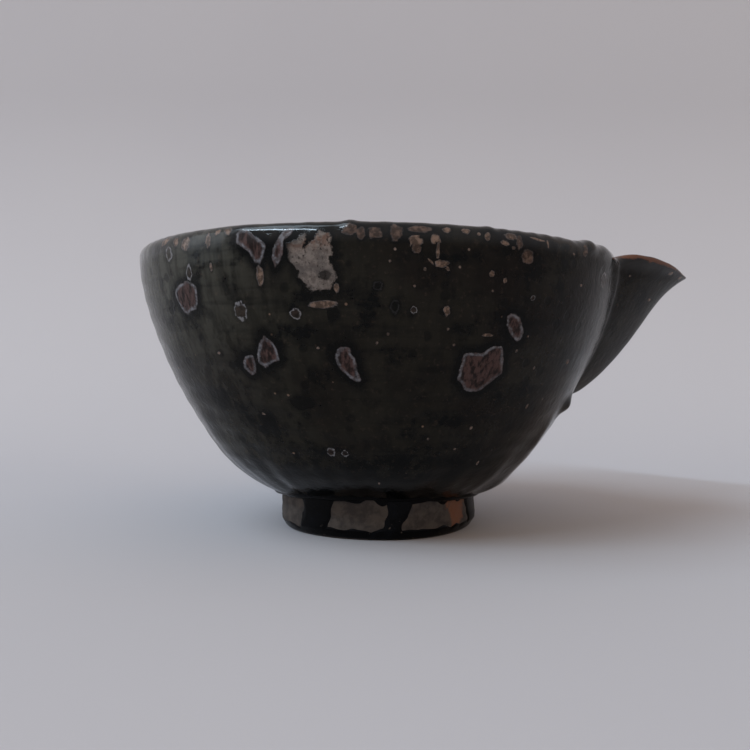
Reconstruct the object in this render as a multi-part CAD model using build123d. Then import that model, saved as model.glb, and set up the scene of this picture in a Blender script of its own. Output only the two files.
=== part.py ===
from build123d import *
import math
import os

# Open-spouted sake pourer of thrown stoneware, under a thick dark glaze.
# Millimetres. Z is the bowl's axis, the foot stands on Z = 0 and the spout points along +X.
# The pourer is the same on both sides of the XZ plane.

# Bowl wall, in bare clay: its outer face follows one curve from the hip up to the rim
rim_r = 65.2
wall_top_z = 72.25
hip_z = 9.2
wall_bend = 1.67
hook_bend = 14.0
hook_share = 0.18
rim_wall = 3.4
base_wall = 5.2
floor_z = 14.6
floor_flat_r = 6.0
wall_points = 10
crowding = 1.8
rim_steepening = 0.6

# Foot: a turned pad with a ring round a shallow recess
foot_r = 27.4
foot_ring_w = 6.4
recess_depth = 6.6
foot_bevel_w = 1.5
foot_bevel_h = 2.5
nub_r = 4.5
nub_h = 1.1

# Spout: an open trough that leaves the wall at its root and narrows to a tip
spout_root_z = 36.5
spout_tip_z = 70.1
spout_reach = 22.5
spout_flare = 7.35
spout_half_w = 19.0
spout_side_bend = 1.5
spout_nose_round = 0.85
spout_widen = 0.6
channel_root_z = 45.0
spout_tip_wall = 3.3
spout_side_wall = 3.2
lip_crest_z = 74.7
lip_crest_out = 4.8
lip_drop_x = 8.5
lip_drop_z = 2.1
trough_levels = 7
first_level = 0.03

# Luting: the band of clay pressed round the joint of spout and wall
luting_w = 3.0
luting_d = 2.2

# Glaze: its coat, the bead where it stopped at the hip and the tongues that ran on down the foot.
# Each tongue is an angle from +X and a spread, in degrees.
glaze_t = 0.5
roll_r = 1.5
roll_lap = 0.2
roll_rise = 1.0
run_t = 0.4
run_stop_z = 2.7
runs = [(-138.4, 21.3), (-87.6, 13.0), (-24.0, 12.0), (58.0, 17.0), (128.0, 24.0)]

# Worked out from the sizes above
hip_r = foot_r
crest_r = rim_r - rim_wall / 2
crest_z = wall_top_z + rim_wall / 2
tip_x = rim_r + spout_reach
clear_z = crest_z + 3 * rim_wall
roll_centre_r = foot_r + roll_r - roll_lap
roll_centre_z = hip_z + roll_rise


def wall_radius(z):
    """Radius of the wall's outer face at one height, in bare clay."""
    drop = max(0.0, (wall_top_z - z) / (wall_top_z - hip_z))
    curve = (1 - hook_share) * drop**wall_bend + hook_share * drop**hook_bend
    return rim_r - (rim_r - hip_r) * curve


def wall_point(share, outward):
    """A point at a share of the wall's height, moved square to the wall, in the XZ plane."""
    z = hip_z + share * (wall_top_z - hip_z)
    step = 0.01
    lean = (wall_radius(z + step) - wall_radius(z - step)) / (2 * step)
    size = math.hypot(1, lean)
    return (wall_radius(z) + outward / size, 0, z - outward * lean / size)


def wall_curve(outward_at):
    """The wall's line from the hip to the rim, moved outward by a function of the height's share."""
    shares = [(k / wall_points) ** crowding for k in range(wall_points + 1)]
    return [wall_point(share, outward_at(share)) for share in shares]


def outer_line(grow):
    """The outer face's points from the hip to the rim, grown by a thickness."""
    return wall_curve(lambda share: grow)


def inner_line(shrink):
    """The inner face's points from the flat of the floor to the rim, moved into the bowl."""
    points = wall_curve(lambda share: (base_wall - rim_wall) * (share - 1) - rim_wall - shrink)
    return [(floor_flat_r, 0, floor_z + shrink)] + [p for p in points if p[2] > floor_z + base_wall]


def inner_face(shrink):
    """The inner face's line, which leaves the floor level and steepens towards the rim."""
    points = inner_line(shrink)
    last = Vector(points[-1]) - Vector(points[-2])
    return Spline(*points, tangents=[(1, 0, 0), (rim_steepening * last.X, 0, last.Z)])


def rim_quarter(start, grow):
    """A quarter of the rounded rim, from one face's end to the crest."""
    crest = (crest_r, 0, crest_z + grow)
    bulge = math.sqrt(0.5)
    middle = (
        crest_r + (start[0] - crest_r) * bulge,
        0,
        start[2] + (crest[2] - start[2]) * bulge,
    )
    return ThreePointArc(start, middle, crest)


def turned(*edges):
    """A solid turned about the bowl's axis from an outline in the XZ plane, its seam at the back."""
    return Rot(0, 0, 180) * revolve(make_face(edges), Axis.Z, 360)


def upright(radius, low_z, high_z):
    """A round bar on the bowl's axis between two heights, its seam at the back."""
    return Pos(0, 0, (low_z + high_z) / 2) * Rot(0, 0, 180) * Cylinder(radius, high_z - low_z)


def bowl_mass(grow):
    """The bowl's outer form, filled to its axis and grown by a thickness."""
    points = outer_line(grow)
    top, foot_point = (0, 0, crest_z + grow), (0, 0, points[0][2])
    return turned(
        Spline(*points),
        rim_quarter(points[-1], grow),
        Line((crest_r, 0, crest_z + grow), top),
        Line(top, foot_point),
        Line(foot_point, points[0]),
    )


def bowl_wall():
    """The thrown bowl before its notch is cut."""
    outside, inside = outer_line(0), inner_line(0)
    floor_top, floor_under = (0, 0, floor_z), (0, 0, hip_z)
    return turned(
        Spline(*outside),
        rim_quarter(outside[-1], 0),
        rim_quarter(inside[-1], 0),
        inner_face(0),
        Line(inside[0], floor_top),
        Line(floor_top, floor_under),
        Line(floor_under, outside[0]),
    )


def outer_coat():
    """Ring of glaze over the whole outside, from the hip to the rim's crest."""
    clay, glazed = outer_line(0), outer_line(glaze_t)
    return turned(
        Spline(*clay),
        rim_quarter(clay[-1], 0),
        Line((crest_r, 0, crest_z), (crest_r, 0, crest_z + glaze_t)),
        rim_quarter(glazed[-1], glaze_t),
        Spline(*glazed),
        Line(glazed[0], clay[0]),
    )


def inner_coat():
    """Lining of glaze over the whole inside, from the floor to the rim's crest."""
    clay, glazed = inner_line(0), inner_line(glaze_t)
    low, high = (0, 0, floor_z), (0, 0, floor_z + glaze_t)
    return turned(
        inner_face(0),
        rim_quarter(clay[-1], 0),
        Line((crest_r, 0, crest_z), (crest_r, 0, crest_z + glaze_t)),
        rim_quarter(glazed[-1], glaze_t),
        inner_face(glaze_t),
        Line(glazed[0], high),
        Line(high, low),
        Line(low, clay[0]),
    )


def trough_section(z, root_z, reach, half_w):
    """One level section of a trough: pointed outside the wall, straight-sided within it."""
    level = (z - root_z) / (spout_tip_z - root_z)
    out = (reach - spout_flare) * math.sqrt(level) + spout_flare * level**4
    half = half_w * level**spout_widen
    base = math.sqrt(wall_radius(z) ** 2 - half**2)
    keel = wall_radius(z) + out
    side = []
    for along in (0, 0.18, 0.42, 0.68, 0.88):
        across = half * (1 - along**spout_side_bend) ** spout_nose_round
        side.append((base + along * (keel - base), across, z))
    nose = [(x, -y, z) for x, y, z in side] + [(keel, 0, z)] + side[::-1]
    inner = base - 3 * rim_wall
    return make_face([
        Spline(*nose),
        Line((base, half, z), (inner, half, z)),
        Line((inner, half, z), (inner, -half, z)),
        Line((inner, -half, z), (base, -half, z)),
    ])


def trough(root_z, reach, half_w):
    """A filled trough from its root up past the lip, built through level sections."""
    top_z = lip_crest_z + rim_wall
    low_z = root_z + first_level * (spout_tip_z - root_z)
    levels = [low_z + (top_z - low_z) * (k / trough_levels) ** 1.3 for k in range(trough_levels + 1)]
    return loft([trough_section(z, root_z, reach, half_w) for z in levels])


def grown_trough(grow):
    """The spout's outer form, grown by a thickness."""
    return trough(spout_root_z - grow, spout_reach + grow, spout_half_w + grow)


def channel(shrink):
    """The spout's channel, made smaller by a thickness. It runs inward through the bowl's wall."""
    reach = spout_reach - spout_tip_wall - shrink
    return trough(channel_root_z + shrink, reach, spout_half_w - spout_side_wall - shrink)


def under_lip(grow):
    """All that lies below the spout's lip line, grown by a thickness, outside the rim's crest."""
    start = (0, 0, crest_z + grow)
    rim = (crest_r, 0, crest_z + grow)
    crest = (rim_r + lip_crest_out, 0, lip_crest_z + grow)
    shoulder = (tip_x - lip_drop_x, 0, spout_tip_z + 1.5 * lip_drop_z + grow)
    tip = (tip_x, 0, spout_tip_z + grow)
    beyond = (tip_x + lip_drop_x, 0, spout_tip_z - lip_drop_x + grow)
    side = make_face([
        Line(start, rim),
        Spline(rim, crest, shoulder, tip, beyond),
        Line(beyond, (beyond[0], 0, 0)),
        Line((beyond[0], 0, 0), (0, 0, 0)),
        Line((0, 0, 0), start),
    ])
    return extrude(side, amount=rim_r, dir=(0, 1, 0), both=True) - upright(crest_r, wall_top_z, clear_z)


def luting_band(grow):
    """The band round the joint, as a wider trough within a thickness of the bowl's wall."""
    return grown_trough(luting_w + grow) & bowl_mass(luting_d + grow)


def make_foot():
    """Turned base pad: a ring round a recess, with the small nub that turning leaves."""
    recess_r = foot_r - foot_ring_w
    corners = [
        (0, 0, hip_z),
        (foot_r, 0, hip_z),
        (foot_r, 0, foot_bevel_h),
        (foot_r - foot_bevel_w, 0, 0),
        (recess_r + foot_bevel_w, 0, 0),
        (recess_r, 0, foot_bevel_w),
        (recess_r, 0, recess_depth),
        (nub_r, 0, recess_depth),
        (0, 0, recess_depth - nub_h),
    ]
    return turned(*Polyline(*corners, close=True).edges())


def bead_ring():
    """The whole round ring that the bead of glaze is cut from."""
    bead = Plane((roll_centre_r, 0, roll_centre_z), z_dir=(0, -1, 0)) * Circle(roll_r)
    return Rot(0, 0, 180) * revolve(bead, Axis.Z, 360)


def make_outer_glaze():
    """Coat on the outside, cut where the bead and the spout's own coat begin."""
    below = upright(roll_centre_r, 0, roll_centre_z) + bead_ring()
    return outer_coat() - below - grown_trough(luting_w + glaze_t)


def make_foot_runs():
    """Tongues of glaze on the foot's wall, from the bead down."""
    ring = upright(foot_r + run_t, run_stop_z, hip_z) - upright(foot_r, 0, hip_z) - bead_ring()
    return Compound([(ring & pie_slice(start, spread)).solid() for start, spread in runs])


def pie_slice(start, spread):
    """A slice round the bowl's axis that holds the foot, by its first angle and its spread."""
    far = 2 * foot_r
    first, last = math.radians(start), math.radians(start + spread)
    corners = [
        (0, 0),
        (far * math.cos(first), far * math.sin(first)),
        (far * math.cos(last), far * math.sin(last)),
    ]
    return extrude(make_face(Polyline(*corners, close=True).edges()), 2 * hip_z)


clay_mass = bowl_mass(0)
clay_wall = bowl_wall()
spout_mass = grown_trough(0)
spout_channel = channel(0)
channel_open = channel(glaze_t)

foot = make_foot()
bowl_body = clay_wall - spout_channel
spout = (spout_mass & under_lip(0)) - clay_mass - spout_channel
luting = (luting_band(0) & under_lip(0)) - clay_mass - spout_mass
outer_glaze = make_outer_glaze()
inner_glaze = (inner_coat() - channel_open) + ((clay_wall & spout_channel) - channel_open)
jacket = (grown_trough(glaze_t) + luting_band(glaze_t)) & under_lip(glaze_t)
core = (spout_mass + luting_band(0)) & under_lip(0)
spout_glaze = jacket - clay_mass - (core - spout_channel) - channel_open
roll = bead_ring() - clay_mass - foot
foot_runs = make_foot_runs()

pieces = {
    "bowl_body": bowl_body,
    "foot": foot,
    "spout": spout,
    "spout_luting": luting,
    "outer_glaze": outer_glaze,
    "inner_glaze": inner_glaze,
    "spout_glaze": spout_glaze,
    "glaze_roll": roll,
    "foot_glaze_runs": foot_runs,
}

os.makedirs("parts", exist_ok=True)
for name, piece in pieces.items():
    solids = piece.solids()
    print(name, len(solids), [round(s.volume, 2) for s in solids], piece.is_valid)
    export_step(Compound(solids), f"parts/{name}.step")
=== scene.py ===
"""Looks of the spouted sake pourer: its glaze coats, clay foot, glaze bead and runs, and the stage.

Every surface is a numpy function of an angle round the bowl and a place along its profile.
Lengths in the geometry are millimetres on the bowl's axis, and become metres in the mesh.
"""

import logging
import math
from dataclasses import dataclass, field
from enum import Enum
from typing import Optional, Union

import bpy
import numpy as np
from mathutils import Matrix, Vector


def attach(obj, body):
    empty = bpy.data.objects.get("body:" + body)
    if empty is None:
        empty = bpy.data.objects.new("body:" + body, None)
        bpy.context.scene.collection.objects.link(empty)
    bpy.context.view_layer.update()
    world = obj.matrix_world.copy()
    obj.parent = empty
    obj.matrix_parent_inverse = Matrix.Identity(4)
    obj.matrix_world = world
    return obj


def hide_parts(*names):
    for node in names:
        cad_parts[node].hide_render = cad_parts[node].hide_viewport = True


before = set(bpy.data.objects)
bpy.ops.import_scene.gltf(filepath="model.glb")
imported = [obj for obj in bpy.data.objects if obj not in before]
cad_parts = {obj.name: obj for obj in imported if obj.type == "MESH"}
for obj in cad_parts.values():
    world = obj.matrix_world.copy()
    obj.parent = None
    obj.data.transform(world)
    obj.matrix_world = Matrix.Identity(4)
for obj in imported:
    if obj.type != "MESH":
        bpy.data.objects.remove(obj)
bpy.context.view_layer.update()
log = logging.getLogger("pourer")

Array = np.ndarray
MM = 0.001
PHOTO = 750
PATCH_REACH = 22.0
FAR_OUTSIDE = -20.0
FAR_FROM_MARKS = 9.0


def smoothstep(low: float, high: float, value: Array) -> Array:
    """Rise from 0 at low to 1 at high with level ends: 3t squared minus 2t cubed."""
    t = np.clip((value - low) / (high - low), 0.0, 1.0)
    return t * t * (3.0 - 2.0 * t)


def soft_positive(value: Array, round_by: float) -> Array:
    """The value where it is positive, else nearly 0: half of x plus the root of x squared + k squared."""
    return 0.5 * (value + np.sqrt(value * value + round_by * round_by))


def turn_difference(angle: Array, centre: Array) -> Array:
    """The shorter turn from a centre angle to an angle, in radians, from -pi to pi."""
    return (angle - centre + math.pi) % (2.0 * math.pi) - math.pi


def bell(value: Array, half: float) -> Array:
    """A soft bump, 1 at 0 and falling as e to the power of minus (value / half) squared."""
    return np.exp(-((value / half) ** 2))


def cubic(share: Array, start: float, leave: float, arrive: float, end: float) -> Array:
    """A Bezier curve's value: its four numbers weighed by the powers of the share and of 1 - share."""
    rest = 1.0 - share
    return rest**3 * start + 3 * rest**2 * share * leave + 3 * rest * share**2 * arrive + share**3 * end


def path_length(across: Array, up: Array) -> Array:
    """The length along a line at each of its points: the summed distances from the first one."""
    return np.concatenate([[0.0], np.cumsum(np.hypot(np.diff(across), np.diff(up)))])


def even_turn(count: int) -> Array:
    """Angles spread evenly once round from -180 degrees."""
    return np.arange(count) / count * 2.0 * math.pi - math.pi


def turned(radius: Array, angle: Array, height: Array) -> Array:
    """Points round the axis: radius times cosine, radius times sine, and the height."""
    return np.stack(np.broadcast_arrays(radius * np.cos(angle), radius * np.sin(angle), height), axis=-1)


def add_object(name: str, data: bpy.types.ID) -> bpy.types.Object:
    """A new object in the scene."""
    obj = bpy.data.objects.new(name, data)
    bpy.context.scene.collection.objects.link(obj)
    return obj


class WaveField:
    """Smooth seamless waviness over angle and height, as a sum of seeded sine waves."""

    def __init__(self, seed: int, turns: tuple[int, int], per_mm: tuple[float, float], waves: int) -> None:
        """Draw the waves.

        Args:
            seed: the random seed.
            turns: fewest and most whole waves round the bowl.
            per_mm: slowest and quickest wave along the profile, in radians a millimetre.
            waves: how many waves are added up.
        """
        rng = np.random.default_rng(seed)
        self.turns = rng.integers(turns[0], turns[1] + 1, waves)
        self.along = rng.uniform(per_mm[0], per_mm[1], waves) * rng.choice([-1.0, 1.0], waves)
        self.phase = rng.uniform(0.0, 2.0 * math.pi, waves)
        self.scale = 1.0 / math.sqrt(waves / 2.0)

    def at(self, angle: Array, length: Array) -> Array:
        """Sum of sin(turns x angle + along x length + phase), scaled to a spread of about 1."""
        shape = self.turns.shape + (1,) * np.ndim(angle)
        turns, along, phase = (v.reshape(shape) for v in (self.turns, self.along, self.phase))
        return np.sin(turns * angle + along * length + phase).sum(axis=0) * self.scale


@dataclass(frozen=True)
class PhotoCamera:
    """The photograph's camera, in millimetres from the centre of the foot, and its pixels."""

    place: tuple[float, float, float] = (-0.9, -224.4, 43.94)
    focal_px: float = 774.7
    pitch: float = 0.0072
    roll: float = 0.0053
    sensor_mm: float = 36.0

    def axes(self) -> tuple[Array, Array, Array]:
        """The camera's right, up and forward directions."""
        forward = np.array([0.0, math.cos(self.pitch), -math.sin(self.pitch)])
        up = np.array([0.0, math.sin(self.pitch), math.cos(self.pitch)])
        right = np.array([1.0, 0.0, 0.0])
        c, s = math.cos(self.roll), math.sin(self.roll)
        return right * c + up * s, up * c - right * s, forward

    def project(self, points: Array) -> tuple[Array, Array, Array]:
        """Pixels and depth of points.

        Args:
            points: an array of shape (..., 3), in millimetres.

        Returns:
            The pixel across, the pixel down and the depth, each of shape (...).
        """
        right, up, forward = self.axes()
        away = points - np.array(self.place)
        depth = away @ forward
        across = PHOTO / 2 + self.focal_px * (away @ right) / depth
        down = PHOTO / 2 - self.focal_px * (away @ up) / depth
        return across, down, depth

    def make(self) -> bpy.types.Object:
        """The Blender camera."""
        data = bpy.data.cameras.new("photo_camera")
        data.sensor_width = self.sensor_mm
        data.lens = self.focal_px / PHOTO * self.sensor_mm
        data.clip_start = 0.01
        camera = add_object("photo_camera", data)
        right, up, forward = self.axes()
        columns = [Vector(right), Vector(up), Vector(-forward)]
        turn = Matrix(columns).transposed().to_4x4()
        camera.matrix_world = Matrix.Translation(Vector(self.place) * MM) @ turn
        bpy.context.scene.camera = camera
        return camera


class Kind(Enum):
    """What a small mark in the glaze looks like."""

    LEAF = 1
    RING = 2
    TAN = 3
    SPECK = 4
    HOLE = 5
    STAR = 6


@dataclass(frozen=True)
class Mark:
    """A small mark in the glaze: its kind, its middle, its half width and height in mm and its lean."""

    kind: Kind
    at_px: tuple[float, float]
    half_mm: tuple[float, float]
    lean_deg: float = 0.0


@dataclass(frozen=True)
class Patch:
    """A large patch in the glaze, as corners on the photograph that lie on the bowl's front."""

    corners_px: tuple[tuple[float, float], ...]


MARKS = (
    Mark(Kind.RING, (189, 272.5), (1.01, 1.95), -12),
    Mark(Kind.RING, (240.6, 311), (1.72, 2.11)),
    Mark(Kind.SPECK, (211, 267), (0.5, 0.93)),
    Mark(Kind.RING, (169, 254), (1.33, 1.64)),
    Mark(Kind.TAN, (166, 241), (2.03, 0.94), 20),
    Mark(Kind.TAN, (176, 242), (1.09, 1.09)),
    Mark(Kind.TAN, (185.5, 244), (1.64, 1.56)),
    Mark(Kind.TAN, (208, 240.6), (0.78, 1.56)),
    Mark(Kind.TAN, (218, 232), (1.01, 0.62), 20),
    Mark(Kind.TAN, (228, 231), (1.17, 0.94)),
    Mark(Kind.TAN, (260, 275), (0.94, 2.18)),
    Mark(Kind.TAN, (336.4, 288), (0.62, 1.09)),
    Mark(Kind.TAN, (323.6, 304.4), (3.12, 0.86)),
    Mark(Kind.STAR, (332, 313), (1.25, 1.72)),
    Mark(Kind.RING, (295.4, 314), (1.25, 1.33)),
    Mark(Kind.LEAF, (350, 229), (1.79, 1.25)),
    Mark(Kind.LEAF, (375, 232), (1.56, 1.4)),
    Mark(Kind.LEAF, (396, 232), (1.4, 1.79)),
    Mark(Kind.LEAF, (361, 233), (1.0, 1.3)),
    Mark(Kind.LEAF, (420, 229), (2.6, 0.8)),
    Mark(Kind.TAN, (416, 240.5), (1.5, 1.5)),
    Mark(Kind.LEAF, (416.5, 248), (1.1, 1.1)),
    Mark(Kind.TAN, (435.8, 239), (1.09, 1.17)),
    Mark(Kind.TAN, (438, 251), (0.39, 1.87)),
    Mark(Kind.TAN, (442, 264), (1.6, 0.8)),
    Mark(Kind.TAN, (431, 261.5), (0.9, 0.22), -45),
    Mark(Kind.TAN, (447, 268), (0.8, 0.35), -45),
    Mark(Kind.LEAF, (455, 286), (1.64, 1.33)),
    Mark(Kind.TAN, (446.7, 311), (0.78, 1.09)),
    Mark(Kind.RING, (414, 310), (0.7, 0.8)),
    Mark(Kind.HOLE, (395, 307), (0.94, 1.48)),
    Mark(Kind.HOLE, (378, 286), (1.01, 0.94)),
    Mark(Kind.SPECK, (395, 249), (0.31, 0.31)),
    Mark(Kind.SPECK, (390, 261), (0.31, 0.31)),
    Mark(Kind.SPECK, (425, 269), (0.31, 0.37)),
    Mark(Kind.SPECK, (460, 267), (0.31, 0.31)),
    Mark(Kind.SPECK, (469, 249.5), (0.31, 0.31)),
    Mark(Kind.TAN, (492, 274), (0.65, 0.75)),
    Mark(Kind.SPECK, (493, 291), (0.31, 0.31)),
    Mark(Kind.SPECK, (388, 286), (0.25, 0.25)),
    Mark(Kind.SPECK, (414.5, 286), (0.31, 0.31)),
    Mark(Kind.SPECK, (377, 343), (0.31, 0.31)),
    Mark(Kind.SPECK, (388, 334), (0.31, 0.37)),
    Mark(Kind.SPECK, (448, 329), (0.31, 0.31)),
    Mark(Kind.SPECK, (454, 345), (0.31, 0.31)),
    Mark(Kind.SPECK, (318, 348), (0.37, 0.31)),
    Mark(Kind.TAN, (505.2, 280.6), (0.5, 0.6)),
    Mark(Kind.RING, (533, 298), (0.65, 0.6)),
    Mark(Kind.SPECK, (581, 285.5), (0.56, 0.37)),
    Mark(Kind.SPECK, (574, 254), (0.37, 0.31)),
    Mark(Kind.SPECK, (516.6, 351), (0.37, 0.43)),
    Mark(Kind.SPECK, (534, 368), (0.37, 0.43)),
    Mark(Kind.SPECK, (471, 428), (0.43, 0.5)),
    Mark(Kind.SPECK, (428, 439), (0.31, 0.37)),
    Mark(Kind.SPECK, (454.6, 449), (0.37, 0.37)),
    Mark(Kind.RING, (345, 453.5), (0.86, 1.01)),
    Mark(Kind.SPECK, (477.5, 463), (0.37, 0.68)),
    Mark(Kind.SPECK, (379, 483.5), (0.31, 0.62)),
    Mark(Kind.SPECK, (219, 353), (0.5, 0.37)),
    Mark(Kind.SPECK, (263.5, 414), (0.5, 0.43)),
    Mark(Kind.TAN, (447, 230), (1.01, 0.62)),
    Mark(Kind.TAN, (466, 231), (1.01, 0.62)),
    Mark(Kind.SPECK, (479, 234), (0.43, 0.43)),
    Mark(Kind.TAN, (487.5, 236.5), (0.7, 0.94)),
    Mark(Kind.TAN, (505, 243), (1.2, 0.5), -8),
    Mark(Kind.SPECK, (513.6, 248), (0.5, 0.37)),
    Mark(Kind.LEAF, (519.7, 242), (0.95, 1.6)),
    Mark(Kind.LEAF, (527.8, 256.7), (1.64, 1.64)),
    Mark(Kind.TAN, (538, 239.6), (2.5, 0.28), -6),
    Mark(Kind.TAN, (548, 244), (0.32, 1.0), 8),
    Mark(Kind.TAN, (511, 236.5), (1.6, 0.8), -8),
    Mark(Kind.RING, (604, 280), (1.87, 1.79)),
    Mark(Kind.LEAF, (585.5, 251), (0.9, 1.6)),
    Mark(Kind.TAN, (487.6, 335), (1.33, 0.39)),
    Mark(Kind.STAR, (325, 275), (1.0, 0.8)),
    Mark(Kind.STAR, (220, 399), (2.65, 2.03)),
    Mark(Kind.STAR, (302, 403), (2.5, 1.56)),
    Mark(Kind.STAR, (268, 419), (2.03, 1.56)),
    Mark(Kind.RING, (331, 452), (1.01, 1.48)),
    Mark(Kind.STAR, (526, 409), (2.0, 1.9)),
    Mark(Kind.SPECK, (527, 407), (0.9, 0.8)),
    Mark(Kind.LEAF, (568.4, 361.3), (2.0, 2.0)),
    Mark(Kind.STAR, (570, 360), (3.51, 2.34)),
    Mark(Kind.TAN, (670.6, 273.5), (1.01, 0.78)),
    Mark(Kind.TAN, (680, 278), (0.94, 0.78)),
    Mark(Kind.SPECK, (649, 300), (0.81, 0.56)),
    Mark(Kind.SPECK, (630, 276), (0.43, 0.31)),
)

PALE_PATCH = Patch((
    (331.8, 238.8), (331.2, 263.8), (335.6, 271.9), (332.3, 290.9), (311, 292), (303, 279),
    (293.3, 263.8), (284, 248), (287.9, 242), (297, 238.8), (299, 234), (305, 234.5),
    (303, 249), (309, 243.7), (313.4, 236.7), (321.5, 230.2), (329.6, 233.4),
))
BLOOM_PATCHES = (
    Patch((
        (502.6, 345.5), (503.7, 357), (502, 372.5), (488.8, 384), (478, 391.4), (465.8, 391),
        (457.2, 378.8), (459, 369.6), (464.7, 353), (483, 353), (491.7, 347),
    )),
    Patch((
        (341.7, 346.3), (349.3, 348.3), (354.1, 356.8), (356.9, 368.3), (361.7, 379.7), (358.8, 382.6),
        (349.3, 377.8), (339.8, 368.3), (334.4, 358.7), (336, 350.2),
    )),
    Patch((
        (263.5, 334), (272.1, 341.6), (277.8, 351.1), (279.7, 360.6), (273, 362.6), (266.3, 369.2),
        (258.7, 362.6), (257.4, 353), (259.7, 341.6),
    )),
    Patch((
        (187.2, 280.6), (196.7, 286.3), (197.7, 299.6), (196.7, 309.2), (192, 310.1), (189.1, 315.3),
        (184.3, 312), (178.6, 303.4), (175.4, 293.9), (177.7, 286.3), (183.4, 282.8),
    )),
    Patch((
        (234.9, 234.8), (239.6, 229.4), (248.2, 229.1), (253, 234.8), (261.6, 240.5), (265.4, 246.2),
        (263.5, 257.7), (259.7, 265.3), (254, 261.5), (249.2, 252), (242.5, 248.1), (236.8, 243.4),
    )),
    Patch((
        (282.6, 229.1), (293, 228.1), (292.1, 233.8), (283.5, 240.5), (282.6, 253.9), (275.9, 269.1),
        (271.1, 257.7), (272.1, 248.1), (277.8, 238.6),
    )),
    Patch((
        (506.3, 315.9), (510.9, 313.8), (519.9, 315.9), (522.1, 325), (523.9, 332.6), (519.9, 340.1),
        (515.4, 341.7), (509.3, 331.1), (506.3, 326.5),
    )),
    Patch((
        (244.4, 356.8), (252, 354.9), (255.9, 364.5), (256.8, 374), (252, 375), (244.4, 368.3),
        (242.5, 362.6),
    )),
)


@dataclass(frozen=True)
class Look:
    """How a kind of mark differs from the glaze round it, each from 0 to 1."""

    fill: float
    edge: float
    halo: float
    tan: float
    light: float


LOOKS = {
    Kind.LEAF: Look(fill=0.85, edge=0.06, halo=0.8, tan=0.4, light=0.45),
    Kind.RING: Look(fill=0.25, edge=0.5, halo=0.5, tan=0.2, light=0.25),
    Kind.TAN: Look(fill=0.85, edge=0.12, halo=0.6, tan=0.9, light=0.62),
    Kind.SPECK: Look(fill=0.8, edge=0.1, halo=0.8, tan=0.95, light=0.68),
    Kind.HOLE: Look(fill=0.0, edge=0.05, halo=1.0, tan=0.0, light=0.0),
    Kind.STAR: Look(fill=0.0, edge=0.0, halo=1.0, tan=0.2, light=0.15),
}


@dataclass(frozen=True)
class Profile:
    """A line across the bowl from the hip, over the rim and down to the middle of the floor.

    Each place has its radius and height, how far it has crossed the rim from 0 outside to 1 inside,
    the height that the spout is read at, and its length along the line from the hip.
    """

    radius: Array
    height: Array
    crossed: Array
    level: Array
    length: Array


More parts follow.
